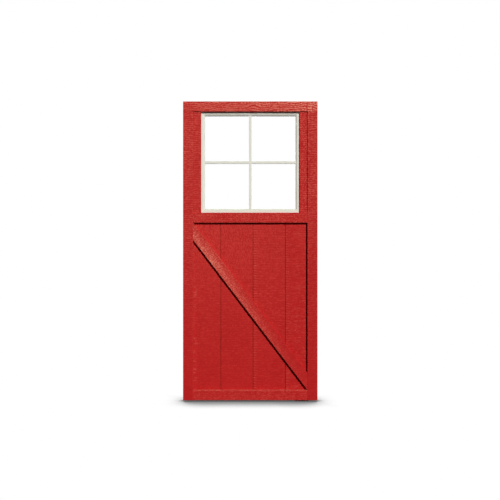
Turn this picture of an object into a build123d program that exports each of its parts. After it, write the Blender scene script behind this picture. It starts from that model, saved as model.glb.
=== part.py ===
"""Sliding barn door: a boarded leaf with a four-light window, hung on concealed running gear.

Millimetres. X runs across the leaf, the front looks towards -Y, Z is up from the floor.
The leaf is closed; it opens towards +X.
"""

from math import sqrt

from build123d import *
import os

os.makedirs("parts", exist_ok=True)

# Leaf
leaf_width = 914.4
leaf_height = 2032.0
floor_gap = 10.0

# Sawn boards of the front and back frames
board_width = 68.3
board_thickness = 19.0
edge_break = 1.2
lower_panel_height = 1139.0
brace_width = 71.0
trim_width = 53.5
trim_thickness = 12.2

# Grooved siding sheet between the frames
siding_thickness = 15.9
groove_pitch = 220.7
groove_lead = 217.8
groove_width = 5.0
groove_depth = 3.2
guide_groove_depth = 25.0

# Window sash
sash_lap = 10.0
sash_clearance = 1.5
sash_depth = 25.4
sash_step = 2.5
sash_step_gap = 0.5
sash_flat = 15.5
bevel_run = 9.5
bevel_depth = 5.5
sash_lip = 8.0
glazing_rebate = 9.0
muntin_width = 17.0
muntin_arris = 1.2
muntin_setback = 4.0

# Glazing
gasket_thickness = 1.0
gasket_width = 8.0
glass_thickness = 4.0
glass_clearance = 1.5
bead_break = 3.0
stop_width = 14.0

# Wood screws
screw_radius = 2.2
screw_head_radius = 4.5
screw_point = 4.0
screw_bite = 10.0
screw_clearance = 0.1
screw_inset = 40.0
pan_head_height = 2.6
stile_screw_count = 5
rail_screw_count = 3
trim_screw_count = 2
track_screw_count = 6
brace_screw_shares = (0.15, 0.5, 0.85)

# Track on the back of the leaf: two bars, each with a keeper strip
track_end_inset = 7.2
track_bar_height = 10.0
track_bar_depth = 18.5
keeper_thickness = 3.5
keeper_edge_round = 1.0
track_slot = 18.0
track_screw_inset = 60.0
track_screw_bite = 15.0
stop_block_length = 24.0
stop_block_clearance = 0.3

# Carriage on the wall
roller_radius = 16.0
roller_width = 15.0
roller_clearance = 0.3
roller_edge_round = 1.0
roller_stop_gap = 0.5
bush_radius = 6.0
bush_wall = 2.0
axle_clearance = 0.05
axle_head_radius = 7.5
axle_head_height = 2.2
axle_head_pocket = 3.4
axle_pocket_clearance = 1.0
axle_tail_radius = 3.0
axle_end_gap = 0.2
spacer_wall = 2.5
plate_width = 190.0
plate_height = 46.0
plate_thickness = 8.0
plate_corner = 6.0
plate_axle_margin = 35.0
plate_hole_radius = 4.5
plate_sink_radius = 8.0
plate_hole_margin = 12.0
plate_gap = 3.0

# Floor guide under the leaf
guide_length = 90.0
guide_width = 36.0
guide_base = 4.0
guide_fin_margin = 23.0
guide_fin_height = 26.0
guide_fin_clearance = 0.6
guide_corner = 5.0
guide_hole_radius = 2.75
guide_hole_margin = 12.0
guide_edge_break = 1.5

countersink_angle = 90
cut_overrun = 5.0

# Depths, from the front face back to the wall
track_depth = track_bar_depth + keeper_thickness
total_depth = 2 * board_thickness + siding_thickness + track_depth + plate_gap + plate_thickness
y_front = -total_depth / 2
y_siding = y_front + board_thickness
y_core_back = y_siding + siding_thickness
y_back = y_core_back + board_thickness
y_keeper = y_back + track_bar_depth
y_track_back = y_keeper + keeper_thickness
y_plate = y_track_back + plate_gap
y_wall = y_plate + plate_thickness

# Heights and widths of the leaf's openings
z_bottom = floor_gap
z_top = z_bottom + leaf_height
z_panel_low = z_bottom + board_width
z_panel_high = z_panel_low + lower_panel_height
z_window_low = z_panel_high + board_width
z_window_high = z_top - board_width
z_siding_low = z_bottom + guide_groove_depth
leaf_half = leaf_width / 2
stile_inner = leaf_half - board_width
window_half = stile_inner - trim_width

# Pocket behind the front frame that takes the sash
pocket_margin = sash_lap + sash_clearance
pocket_half = window_half + pocket_margin
z_pocket_low = z_window_low - pocket_margin
z_pocket_high = z_window_high + pocket_margin
z_back_rail_low = z_pocket_low - board_width

# Sash lines: the outer edge, the face that stands in the opening, the sight line and the glass
sash_width = sash_lap + sash_flat + bevel_run
sash_half = window_half + sash_lap
z_sash_low = z_window_low - sash_lap
z_sash_high = z_window_high + sash_lap
face_half = window_half - sash_step_gap
face_height = z_window_high - z_window_low - 2 * sash_step_gap
sight_half = sash_half - sash_width
z_sight_low = z_sash_low + sash_width
z_sight_high = z_sash_high - sash_width
z_window_mid = (z_sight_low + z_sight_high) / 2
y_sash = y_siding - sash_step
y_lip_back = y_sash + bevel_depth + sash_lip
y_glass = y_lip_back + gasket_thickness
y_glass_back = y_glass + glass_thickness
y_sash_back = y_siding + sash_depth
rebate_half = sight_half + glazing_rebate
z_rebate_low = z_sight_low - glazing_rebate
z_rebate_high = z_sight_high + glazing_rebate

# Running gear lines
track_half = leaf_half - track_end_inset
track_bore = 2 * (roller_radius + roller_clearance)
z_track = (z_pocket_high + z_top) / 2
bar_rise = (track_bore + track_bar_height) / 2
keeper_lap = (track_bore - track_slot) / 2
roller_spacing = plate_width - 2 * plate_axle_margin
stop_reach = stop_block_length + roller_stop_gap + roller_radius
carriage_x = track_half - stop_reach - roller_spacing / 2
roller_places = {
    "left": carriage_x - roller_spacing / 2,
    "right": carriage_x + roller_spacing / 2,
}
roller_side_gap = (track_bar_depth - roller_width) / 2
y_roller = y_back + roller_side_gap
y_roller_back = y_roller + roller_width
y_bush = y_roller + axle_head_pocket
axle_radius = bush_radius - bush_wall - axle_clearance


def facing_front(y):
    """The upright plane at depth y that looks out of the front, x across and z up."""
    return Plane.XZ.offset(-y)


def drilled_from_behind(points, y):
    """Where holes start that run towards the front from depth y."""
    return [Plane((x, y, z), z_dir=(0, 1, 0)) for x, z in points]


def drilled_from_front(points, y):
    """Where holes start that run towards the wall from depth y."""
    return [Plane((x, y, z), z_dir=(0, -1, 0)) for x, z in points]


def spread(low, high, count):
    """Evenly spaced places from low to high, both included."""
    return [low + (high - low) * i / (count - 1) for i in range(count)]


def save(part, label):
    part.label = label
    export_step(part, f"parts/{label}.step")


# Screw lines: each passes a back board and the siding into a front board
stile_x = leaf_half - board_width / 2
stile_rows = spread(z_bottom + screw_inset, z_window_high - screw_inset, stile_screw_count)
rail_columns = spread(screw_inset - stile_inner, stile_inner - screw_inset, rail_screw_count)
trim_x = (pocket_half + stile_inner) / 2
trim_rows = spread(z_pocket_low + screw_inset, z_pocket_high - screw_inset, trim_screw_count)
z_middle_screws = (z_panel_high + z_pocket_low) / 2
z_bottom_screws = (z_siding_low + z_panel_low) / 2

left_stile_screws = [(-stile_x, z) for z in stile_rows]
right_stile_screws = [(stile_x, z) for z in stile_rows]
top_screws = [(x, z_track) for x in rail_columns]
middle_screws = [(x, z_middle_screws) for x in rail_columns]
bottom_screws = [(x, z_bottom_screws) for x in rail_columns]
left_trim_screws = [(-trim_x, z) for z in trim_rows]
right_trim_screws = [(trim_x, z) for z in trim_rows]
board_screw_points = (
    left_stile_screws + right_stile_screws + top_screws + middle_screws
    + bottom_screws + left_trim_screws + right_trim_screws
)
track_columns = spread(
    track_screw_inset - track_half, track_half - track_screw_inset, track_screw_count
)
upper_track_screws = [(x, z_track + bar_rise) for x in track_columns]
lower_track_screws = [(x, z_track - bar_rise) for x in track_columns]

# Brace: its ends are cut upright against the stiles, its points reach the panel's corners
brace_run = 2 * stile_inner
brace_square = brace_run**2 - brace_width**2
brace_term = brace_width**2 * lower_panel_height
brace_cut = (
    sqrt(brace_term**2 + brace_square * brace_width**2 * (brace_run**2 + lower_panel_height**2))
    - brace_term
) / brace_square
brace_drop = lower_panel_height - brace_cut
brace_screw_points = [
    (share * brace_run - stile_inner, z_panel_high - brace_cut / 2 - share * brace_drop)
    for share in brace_screw_shares
]


def front_board(label, x_low, x_high, z_low, z_high, thickness, run, screws):
    """A face board on the siding, its long front arrises broken, drilled from behind."""
    with BuildPart() as board:
        with BuildSketch(facing_front(y_siding)):
            with Locations(((x_low + x_high) / 2, (z_low + z_high) / 2)):
                Rectangle(x_high - x_low, z_high - z_low)
        extrude(amount=thickness)
        chamfer(board.faces().sort_by(Axis.Y)[0].edges().filter_by(run), edge_break)
        with Locations(*drilled_from_behind(screws, y_siding)):
            Hole(screw_radius + screw_clearance, screw_bite + screw_clearance)
    save(board.part, label)


def back_board(label, x_low, x_high, z_low, z_high, run, screws, track_screws=()):
    """A board of the back frame, countersunk for the screws that draw the leaf together."""
    with BuildPart() as board:
        with BuildSketch(facing_front(y_back)):
            with Locations(((x_low + x_high) / 2, (z_low + z_high) / 2)):
                Rectangle(x_high - x_low, z_high - z_low)
        extrude(amount=board_thickness)
        chamfer(board.faces().sort_by(Axis.Y)[-1].edges().filter_by(run), edge_break)
        with Locations(*drilled_from_behind(screws, y_back)):
            CounterSinkHole(
                screw_radius + screw_clearance,
                screw_head_radius + screw_clearance,
                counter_sink_angle=countersink_angle,
            )
        if track_screws:
            with Locations(*drilled_from_behind(track_screws, y_back)):
                Hole(screw_radius + screw_clearance, track_screw_bite + screw_clearance)
    save(board.part, label)


# Front frame
front_board("left_stile", -leaf_half, -stile_inner, z_bottom, z_window_high,
            board_thickness, Axis.Z, left_stile_screws)
front_board("right_stile", stile_inner, leaf_half, z_bottom, z_window_high,
            board_thickness, Axis.Z, right_stile_screws)
front_board("top_rail", -leaf_half, leaf_half, z_window_high, z_top,
            board_thickness, Axis.X, top_screws)
front_board("middle_rail", -stile_inner, stile_inner, z_panel_high, z_window_low,
            board_thickness, Axis.X, middle_screws)
front_board("bottom_rail", -stile_inner, stile_inner, z_bottom, z_panel_low,
            board_thickness, Axis.X, bottom_screws)
front_board("left_window_trim", -stile_inner, -window_half, z_window_low, z_window_high,
            trim_thickness, Axis.Z, left_trim_screws)
front_board("right_window_trim", window_half, stile_inner, z_window_low, z_window_high,
            trim_thickness, Axis.Z, right_trim_screws)

with BuildPart() as diagonal_brace:
    with BuildSketch(facing_front(y_siding)):
        with BuildLine():
            Polyline(
                (-stile_inner, z_panel_high),
                (-stile_inner, z_panel_high - brace_cut),
                (stile_inner, z_panel_low),
                (stile_inner, z_panel_low + brace_cut),
                close=True,
            )
        make_face()
    extrude(amount=board_thickness)
    brace_arrises = diagonal_brace.faces().sort_by(Axis.Y)[0].edges()
    chamfer(brace_arrises.sort_by(SortBy.LENGTH)[-2:], edge_break)
    with Locations(*drilled_from_behind(brace_screw_points, y_siding)):
        Hole(screw_radius + screw_clearance, screw_bite + screw_clearance)
save(diagonal_brace.part, "diagonal_brace")

# Siding sheet: grooves are set out from its right edge, and it stops short over the floor guide
groove_room = leaf_width - groove_lead - groove_width
groove_count = int(groove_room // groove_pitch) + 1
groove_columns = [(leaf_half - groove_lead - i * groove_pitch, z_top) for i in range(groove_count)]
with BuildPart() as siding_panel:
    with BuildSketch(facing_front(y_core_back)):
        with Locations((0, (z_siding_low + z_top) / 2)):
            Rectangle(leaf_width, z_top - z_siding_low)
        with Locations((0, (z_pocket_low + z_pocket_high) / 2)):
            Rectangle(2 * pocket_half, z_pocket_high - z_pocket_low, mode=Mode.SUBTRACT)
    extrude(amount=siding_thickness)
    with BuildSketch(facing_front(y_siding)):
        with Locations(*groove_columns):
            Rectangle(groove_width, z_top - z_siding_low, align=(Align.CENTER, Align.MAX))
    extrude(amount=-groove_depth, mode=Mode.SUBTRACT)
    with Locations(*drilled_from_behind(board_screw_points + brace_screw_points, y_core_back)):
        Hole(screw_radius + screw_clearance, siding_thickness)
save(siding_panel.part, "siding_panel")

# Back frame
back_board("back_left_stile", -leaf_half, -stile_inner, z_bottom, z_pocket_high,
           Axis.Z, left_stile_screws)
back_board("back_right_stile", stile_inner, leaf_half, z_bottom, z_pocket_high,
           Axis.Z, right_stile_screws)
back_board("back_top_rail", -leaf_half, leaf_half, z_pocket_high, z_top,
           Axis.X, top_screws, upper_track_screws + lower_track_screws)
back_board("back_middle_rail", -stile_inner, stile_inner, z_back_rail_low, z_pocket_low,
           Axis.X, middle_screws)
back_board("back_bottom_rail", -stile_inner, stile_inner, z_bottom, z_panel_low,
           Axis.X, bottom_screws)
back_board("back_left_window_trim", -stile_inner, -pocket_half, z_pocket_low, z_pocket_high,
           Axis.Z, left_trim_screws)
back_board("back_right_window_trim", pocket_half, stile_inner, z_pocket_low, z_pocket_high,
           Axis.Z, right_trim_screws)


def sash_member(label, outline, run):
    """A mitred sash member: raised face, bevel to the sight line, rebates for boards and glass."""
    with BuildPart() as member:
        with BuildSketch(facing_front(y_sash)):
            with BuildLine():
                Polyline(*outline, close=True)
            make_face()
        extrude(amount=y_sash - y_sash_back)
        face = member.faces().sort_by(Axis.Y)[0]
        inner_arris = face.edges().filter_by(run).sort_by(SortBy.LENGTH)[0]
        chamfer(inner_arris, length=bevel_run, length2=bevel_depth, reference=face)
        with BuildSketch(facing_front(y_siding)):
            with Locations((0, z_window_mid)):
                Rectangle(2 * sash_half, z_sash_high - z_sash_low)
                Rectangle(2 * face_half, face_height, mode=Mode.SUBTRACT)
        extrude(amount=sash_step, mode=Mode.SUBTRACT)
        with BuildSketch(facing_front(y_lip_back)):
            with Locations((0, z_window_mid)):
                Rectangle(2 * rebate_half, z_rebate_high - z_rebate_low)
        extrude(amount=-sash_depth, mode=Mode.SUBTRACT)
    save(member.part, label)


outer_corners = {
    "bottom_left": (-sash_half, z_sash_low),
    "bottom_right": (sash_half, z_sash_low),
    "top_right": (sash_half, z_sash_high),
    "top_left": (-sash_half, z_sash_high),
}
sight_corners = {
    "bottom_left": (-sight_half, z_sight_low),
    "bottom_right": (sight_half, z_sight_low),
    "top_right": (sight_half, z_sight_high),
    "top_left": (-sight_half, z_sight_high),
}
for label, start, end, run in (
    ("sash_bottom_rail", "bottom_left", "bottom_right", Axis.X),
    ("sash_right_stile", "bottom_right", "top_right", Axis.Z),
    ("sash_top_rail", "top_right", "top_left", Axis.X),
    ("sash_left_stile", "top_left", "bottom_left", Axis.Z),
):
    sash_outline = (
        outer_corners[start], outer_corners[end], sight_corners[end], sight_corners[start],
    )
    sash_member(label, sash_outline, run)

# Muntins: flat bars with broken edges, on the outside of the glass, coped to the sash and to each other
muntin_depth = y_glass - y_sash - muntin_setback
muntin_flat = muntin_width - 2 * muntin_arris
muntin_base = muntin_depth - muntin_arris
sash_cope = bevel_run * (bevel_depth - muntin_setback) / bevel_depth


def muntin_section():
    """The bar's section: its back on the glass, its face up, in section coordinates."""
    Polyline(
        (-muntin_width / 2, 0),
        (muntin_width / 2, 0),
        (muntin_width / 2, muntin_base),
        (muntin_flat / 2, muntin_depth),
        (-muntin_flat / 2, muntin_depth),
        (-muntin_width / 2, muntin_base),
        close=True,
    )


sash_shoulder = y_glass - y_sash - bevel_depth
with BuildPart() as muntin_vertical:
    upright = Plane((0, y_glass, z_sight_low - bevel_run), x_dir=(-1, 0, 0), z_dir=(0, 0, 1))
    with BuildSketch(upright):
        with BuildLine():
            muntin_section()
        make_face()
    extrude(amount=z_sight_high - z_sight_low + 2 * bevel_run)
    with BuildSketch(Plane.YZ.offset(-muntin_width)):
        with BuildLine():
            Polyline(
                (y_glass, z_sight_low),
                (y_glass - sash_shoulder, z_sight_low),
                (y_glass - muntin_depth, z_sight_low - sash_cope),
                (y_glass - muntin_depth, z_sight_high + sash_cope),
                (y_glass - sash_shoulder, z_sight_high),
                (y_glass, z_sight_high),
                close=True,
            )
        make_face()
    extrude(amount=2 * muntin_width, mode=Mode.INTERSECT)
save(muntin_vertical.part, "muntin_vertical")

for side, sign in (("left", -1), ("right", 1)):
    with BuildPart() as muntin_cross:
        level = Plane((0, y_glass, z_window_mid), x_dir=(0, 0, sign), z_dir=(sign, 0, 0))
        with BuildSketch(level):
            with BuildLine():
                muntin_section()
            make_face()
        extrude(amount=sight_half + bevel_run)
        with BuildSketch(Plane.XY.offset(z_window_mid - muntin_width)):
            with BuildLine():
                Polyline(
                    (sign * muntin_width / 2, y_glass),
                    (sign * muntin_width / 2, y_glass - muntin_base),
                    (sign * muntin_flat / 2, y_glass - muntin_depth),
                    (sign * (sight_half + sash_cope), y_glass - muntin_depth),
                    (sign * sight_half, y_glass - sash_shoulder),
                    (sign * sight_half, y_glass),
                    close=True,
                )
            make_face()
        extrude(amount=2 * muntin_width, mode=Mode.INTERSECT)
    save(muntin_cross.part, f"muntin_{side}")

# Glass, with its gasket against the sash lip
glass_half = rebate_half - glass_clearance
glass_height = z_rebate_high - z_rebate_low - 2 * glass_clearance
with BuildPart() as glass_pane:
    with BuildSketch(facing_front(y_glass)):
        with Locations((0, z_window_mid)):
            Rectangle(2 * glass_half, glass_height)
    extrude(amount=-glass_thickness)
save(glass_pane.part, "glass_pane")

with BuildPart() as glazing_gasket:
    with BuildSketch(facing_front(y_lip_back)):
        with Locations((0, z_window_mid)):
            Rectangle(2 * rebate_half, z_rebate_high - z_rebate_low)
            Rectangle(
                2 * (rebate_half - gasket_width),
                z_rebate_high - z_rebate_low - 2 * gasket_width,
                mode=Mode.SUBTRACT,
            )
    extrude(amount=-gasket_thickness)
save(glazing_gasket.part, "glazing_gasket")


def strip_ring(name, half, z_low, z_high, width, y_near, y_far):
    """Four square-cut strips round an opening, their inner back arrises taken off."""
    middle = (z_low + z_high) / 2
    spans = {
        "top": (-half, half, z_high - width, z_high, Axis.X),
        "bottom": (-half, half, z_low, z_low + width, Axis.X),
        "left": (-half, -half + width, z_low + width, z_high - width, Axis.Z),
        "right": (half - width, half, z_low + width, z_high - width, Axis.Z),
    }
    for side, (x_low, x_high, low, high, run) in spans.items():
        with BuildPart() as strip:
            with BuildSketch(facing_front(y_near)):
                with Locations(((x_low + x_high) / 2, (low + high) / 2)):
                    Rectangle(x_high - x_low, high - low)
            extrude(amount=-(y_far - y_near))
            arrises = strip.faces().sort_by(Axis.Y)[-1].edges().filter_by(run)
            chamfer(arrises.sort_by_distance((0, y_far, middle))[0], bead_break)
        save(strip.part, f"{name}_{side}")


strip_ring("glazing_bead", rebate_half, z_rebate_low, z_rebate_high, glazing_rebate,
           y_glass_back, y_sash_back)
strip_ring("window_stop", pocket_half, z_pocket_low, z_pocket_high, stop_width,
           y_sash_back, y_back)


def screw_group(label, points, y, length, pan_head=False):
    """Like wood screws, their heads flush with depth y, or standing on it with a pan head."""
    sink = screw_head_radius - screw_radius
    head = (
        [(0, pan_head_height), (screw_head_radius, pan_head_height), (screw_head_radius, 0),
         (screw_radius, 0)]
        if pan_head
        else [(0, 0), (screw_head_radius, 0), (screw_radius, -sink)]
    )
    with BuildPart() as screw:
        with BuildSketch(Plane.XZ):
            with BuildLine():
                Polyline(*head, (screw_radius, screw_point - length), (0, -length), close=True)
            make_face()
        revolve(axis=Axis.Z)
    with BuildPart() as group:
        with Locations(*drilled_from_behind(points, y)):
            add(screw.part)
    save(group.part, label)


screw_group("board_screws", board_screw_points, y_back,
            board_thickness + siding_thickness + screw_bite)
screw_group("brace_screws", brace_screw_points, y_core_back,
            siding_thickness + screw_bite, pan_head=True)
screw_group("track_screws", upper_track_screws + lower_track_screws, y_track_back,
            track_depth + track_screw_bite)

# Track: the rollers run between two bars, and a keeper strip on each bar laps them from behind
for side, sign, screws in (("upper", 1, upper_track_screws), ("lower", -1, lower_track_screws)):
    with BuildPart() as track_bar:
        with BuildSketch(facing_front(y_keeper)):
            with Locations((0, z_track + sign * bar_rise)):
                Rectangle(2 * track_half, track_bar_height)
        extrude(amount=track_bar_depth)
        with Locations(*drilled_from_behind(screws, y_keeper)):
            Hole(screw_radius + screw_clearance, track_bar_depth + cut_overrun)
    save(track_bar.part, f"track_bar_{side}")
    with BuildPart() as keeper:
        with BuildSketch(facing_front(y_track_back)):
            with Locations((0, z_track + sign * (bar_rise - keeper_lap / 2))):
                Rectangle(2 * track_half, track_bar_height + keeper_lap)
        extrude(amount=keeper_thickness)
        fillet(keeper.faces().sort_by(Axis.Y)[-1].edges().filter_by(Axis.X), keeper_edge_round)
        with Locations(*drilled_from_behind(screws, y_track_back)):
            CounterSinkHole(
                screw_radius + screw_clearance,
                screw_head_radius + screw_clearance,
                counter_sink_angle=countersink_angle,
            )
    save(keeper.part, f"track_keeper_{side}")

# Stop blocks at the track's ends
for side, sign in (("left", -1), ("right", 1)):
    with BuildPart() as track_stop:
        with BuildSketch(facing_front(y_back)):
            with Locations((sign * (track_half - stop_block_length / 2), z_track)):
                Rectangle(stop_block_length, track_bore - 2 * stop_block_clearance)
        extrude(amount=-(track_bar_depth - stop_block_clearance))
    save(track_stop.part, f"track_stop_{side}")

# Carriage: a plate on the wall with two rollers that carry the track
with BuildPart() as wall_plate:
    with BuildSketch(facing_front(y_wall)):
        with Locations((carriage_x, z_track)):
            RectangleRounded(plate_width, plate_height, plate_corner)
    extrude(amount=plate_thickness)
    hole_across = plate_width / 2 - plate_hole_margin
    hole_up = plate_height / 2 - plate_hole_margin
    wall_holes = [
        (carriage_x + across * hole_across, z_track + up * hole_up)
        for across in (-1, 1)
        for up in (-1, 1)
    ]
    with Locations(*drilled_from_front(wall_holes, y_plate)):
        CounterSinkHole(
            plate_hole_radius, plate_sink_radius, counter_sink_angle=countersink_angle
        )
    axle_points = [(x, z_track) for x in roller_places.values()]
    with Locations(*drilled_from_front(axle_points, y_plate)):
        Hole(axle_tail_radius + axle_clearance, plate_thickness + cut_overrun)
save(wall_plate.part, "wall_plate")


def turned(label, places, profile):
    """Like pieces turned about roller axes, from (radius, depth) points."""
    with BuildPart() as group:
        for x in places:
            with BuildSketch(Plane.XY.offset(z_track)):
                with BuildLine():
                    Polyline(*[(x + radius, y) for radius, y in profile], close=True)
                make_face()
            revolve(axis=Axis((x, 0, z_track), (0, 1, 0)))
    save(group.part, label)


y_axle_head = y_bush - axle_end_gap
turned("axle_pins", roller_places.values(), (
    (0, y_axle_head - axle_head_height),
    (axle_head_radius, y_axle_head - axle_head_height),
    (axle_head_radius, y_axle_head),
    (axle_radius, y_axle_head),
    (axle_radius, y_plate),
    (axle_tail_radius, y_plate),
    (axle_tail_radius, y_wall),
    (0, y_wall),
))
bore_radius = axle_radius + axle_clearance
turned("axle_spacers", roller_places.values(), (
    (bore_radius, y_roller_back + axle_end_gap),
    (bore_radius + spacer_wall, y_roller_back + axle_end_gap),
    (bore_radius + spacer_wall, y_plate),
    (bore_radius, y_plate),
))
pocket_radius = axle_head_radius + axle_pocket_clearance
for side, x in roller_places.items():
    turned(f"roller_{side}", [x], (
        (bush_radius, y_bush),
        (pocket_radius, y_bush),
        (pocket_radius, y_roller),
        (roller_radius - roller_edge_round, y_roller),
        (roller_radius, y_roller + roller_edge_round),
        (roller_radius, y_roller_back - roller_edge_round),
        (roller_radius - roller_edge_round, y_roller_back),
        (bush_radius, y_roller_back),
    ))
    turned(f"roller_bush_{side}", [x], (
        (bore_radius, y_bush),
        (bush_radius, y_bush),
        (bush_radius, y_roller_back),
        (bore_radius, y_roller_back),
    ))

# Floor guide: a fin in the groove between the two bottom rails
y_guide = (y_siding + y_core_back) / 2
fin_thickness = siding_thickness - 2 * guide_fin_clearance
with BuildPart() as floor_guide:
    with BuildSketch():
        with Locations((carriage_x, y_guide)):
            RectangleRounded(guide_length, guide_width, guide_corner)
    extrude(amount=guide_base)
    with BuildSketch(Plane.XY.offset(guide_base)):
        with Locations((carriage_x, y_guide)):
            Rectangle(guide_length - 2 * guide_fin_margin, fin_thickness)
    extrude(amount=guide_fin_height - guide_base)
    chamfer(floor_guide.faces().sort_by(Axis.Z)[-1].edges(), guide_edge_break)
    with Locations((carriage_x, y_guide, guide_base)):
        with GridLocations(guide_length - 2 * guide_hole_margin, 0, 2, 1):
            Hole(guide_hole_radius, guide_base + cut_overrun)
save(floor_guide.part, "floor_guide")

travel = 2 * (track_half - stop_reach) - roller_spacing
print(f"leaf travel {travel:.1f} mm, carriage at x {carriage_x:.1f}, track axis z {z_track:.2f}")
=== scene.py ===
"""Finishes and stage of a red boarded sliding door with a four-light window.

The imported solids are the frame. The red coat follows each board's own saw marks and grain, the screws
are driven by a node tree, and everything is in metres with the front towards -Y.
"""

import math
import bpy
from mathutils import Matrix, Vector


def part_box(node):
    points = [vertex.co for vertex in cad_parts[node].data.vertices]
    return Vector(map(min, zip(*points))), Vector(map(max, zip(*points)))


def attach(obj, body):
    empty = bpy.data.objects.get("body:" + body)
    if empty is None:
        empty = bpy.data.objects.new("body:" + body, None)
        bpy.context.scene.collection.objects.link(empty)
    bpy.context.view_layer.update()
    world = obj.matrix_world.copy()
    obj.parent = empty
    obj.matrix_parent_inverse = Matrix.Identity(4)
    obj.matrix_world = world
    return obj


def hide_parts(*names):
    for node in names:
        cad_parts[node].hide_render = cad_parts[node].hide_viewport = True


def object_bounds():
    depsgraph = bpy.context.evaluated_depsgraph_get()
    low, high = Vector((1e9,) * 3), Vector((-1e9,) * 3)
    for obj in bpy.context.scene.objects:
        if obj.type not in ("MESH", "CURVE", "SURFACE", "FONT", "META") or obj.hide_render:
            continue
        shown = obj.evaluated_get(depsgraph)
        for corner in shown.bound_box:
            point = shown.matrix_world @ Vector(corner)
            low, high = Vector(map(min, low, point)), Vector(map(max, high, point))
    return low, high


bl_info = {
    "name": "Sliding Barn Door",
    "version": (1, 0, 0),
    "blender": (4, 5, 0),
    "location": "View3D > Sidebar > Barn Door",
    "description": "Red sawn boards, ivory window, screws and running gear of a sliding door",
    "category": "Object",
}

from typing import NamedTuple

import bmesh
import bpy
from bpy.props import FloatProperty, FloatVectorProperty, IntProperty, PointerProperty
from mathutils import Vector

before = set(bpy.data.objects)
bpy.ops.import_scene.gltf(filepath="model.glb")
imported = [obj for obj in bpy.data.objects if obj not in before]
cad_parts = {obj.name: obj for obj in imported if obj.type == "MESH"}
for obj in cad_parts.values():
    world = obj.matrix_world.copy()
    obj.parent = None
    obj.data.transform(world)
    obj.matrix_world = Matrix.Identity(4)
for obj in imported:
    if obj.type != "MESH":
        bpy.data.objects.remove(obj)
solid_box = [list(corner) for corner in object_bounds()]

UPRIGHT = 0.0
LEVEL = math.pi / 2


class Board(NamedTuple):
    """How one board lies, how its coat has weathered, and the painted sheen on it."""

    turn: float = UPRIGHT
    pale_and_sheen: tuple = (0.03, 0.03)  # share of pale fibre and painted sheen at the low and the high end
    fade: float = 1.5  # above 1, the pale fibre and the painted sheen gather at the high end
    reach: float = 1.0  # share of the length by which the high end's share is reached
    lean: float = 0.0  # share of the pale fibre and painted sheen that is lost towards the far edge
    flecks: tuple = (2.2, 0.8)  # a fleck's width and length, in the coat's own unit
    crisp: float = 0.65  # contrast of the marks
    rows: float = 0.07  # how firmly the marks stand in the saw's rows
    streaks: float = 0.1  # share of long streaks among the flecks
    flow: float = 0.01  # how far the grain bends across the board
    wear_and_highlight: tuple = (0.02, 0.02)  # pale fibre along the two long edges: wear, and a painted highlight on the left stile's inner edge and the bottom rail's top edge
    tone: float = 1.0  # brightness of the red


# The pale shares rise from the bottom rail to the top rail, up the uprights and to the brace's upper
# end: raised fibre, and a painted sheen that stands in for stronger light on the upper part.
FRONT_BOARDS = {
    # The left stile's inner edge band is a painted highlight of its lit edge.
    "left_stile": Board(pale_and_sheen=(0.0, 0.105), wear_and_highlight=(0.0, 0.05)),
    "right_stile": Board(pale_and_sheen=(0.0, 0.10), crisp=0.8, tone=0.95),
    "top_rail": Board(
        LEVEL, pale_and_sheen=(0.11, 0.31), fade=0.75, flecks=(0.9, 1.1), crisp=0.9, streaks=0.7, flow=0.06
    ),
    "middle_rail": Board(
        LEVEL, pale_and_sheen=(0.06, 0.07), fade=1.0, flecks=(0.85, 1.1), crisp=0.85, rows=0.04, streaks=0.3
    ),
    # The bottom rail's top edge band is a painted highlight of its lit top face.
    "bottom_rail": Board(
        LEVEL, pale_and_sheen=(0.03, 0.035), flecks=(0.85, 1.4), crisp=0.9, rows=0.04, streaks=0.3,
        wear_and_highlight=(0.28, 0.0),
    ),
    "left_window_trim": Board(pale_and_sheen=(0.06, 0.08)),
    "right_window_trim": Board(pale_and_sheen=(0.075, 0.11), flecks=(0.9, 0.85), crisp=1.1, rows=0.05),
    "diagonal_brace": Board(
        pale_and_sheen=(0.025, 0.335), fade=1.7, reach=0.78, lean=0.7, flecks=(0.6, 0.95), crisp=0.62, rows=0.03,
        wear_and_highlight=(0.0, 0.0),
    ),
}
BACK_BOARDS = {
    "back_left_stile": Board(pale_and_sheen=(0.0, 0.06)),
    "back_right_stile": Board(pale_and_sheen=(0.0, 0.06)),
    "back_top_rail": Board(LEVEL, pale_and_sheen=(0.06, 0.06), flecks=(1.0, 2.5), streaks=0.6, flow=0.05),
    "back_middle_rail": Board(LEVEL),
    "back_bottom_rail": Board(LEVEL, pale_and_sheen=(0.02, 0.02)),
    "back_left_window_trim": Board(),
    "back_right_window_trim": Board(),
    "window_stop_top": Board(LEVEL),
    "window_stop_bottom": Board(LEVEL),
    "window_stop_left": Board(),
    "window_stop_right": Board(),
}
SASH = (
    "sash_left_stile", "sash_right_stile", "sash_top_rail", "muntin_vertical",
    "glazing_bead_top", "glazing_bead_bottom", "glazing_bead_left", "glazing_bead_right",
)
# Pieces with a ledge, and how far below their top the darker tint starts: settled dust, and painted
# shade on upward faces that catch the light.
LEDGES = {"sash_bottom_rail": 0.0095, "muntin_left": 0.0012, "muntin_right": 0.0012}
LEDGE_SHADE_EASE = 0.0002
TRACK = ("track_bar_upper", "track_bar_lower", "track_keeper_upper", "track_keeper_lower")
PLATED_STEEL = ("wall_plate", "axle_pins", "axle_spacers")
MOULDED_NYLON = ("track_stop_left", "track_stop_right", "roller_left", "roller_right", "floor_guide")
BUSHES = ("roller_bush_left", "roller_bush_right")

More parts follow.
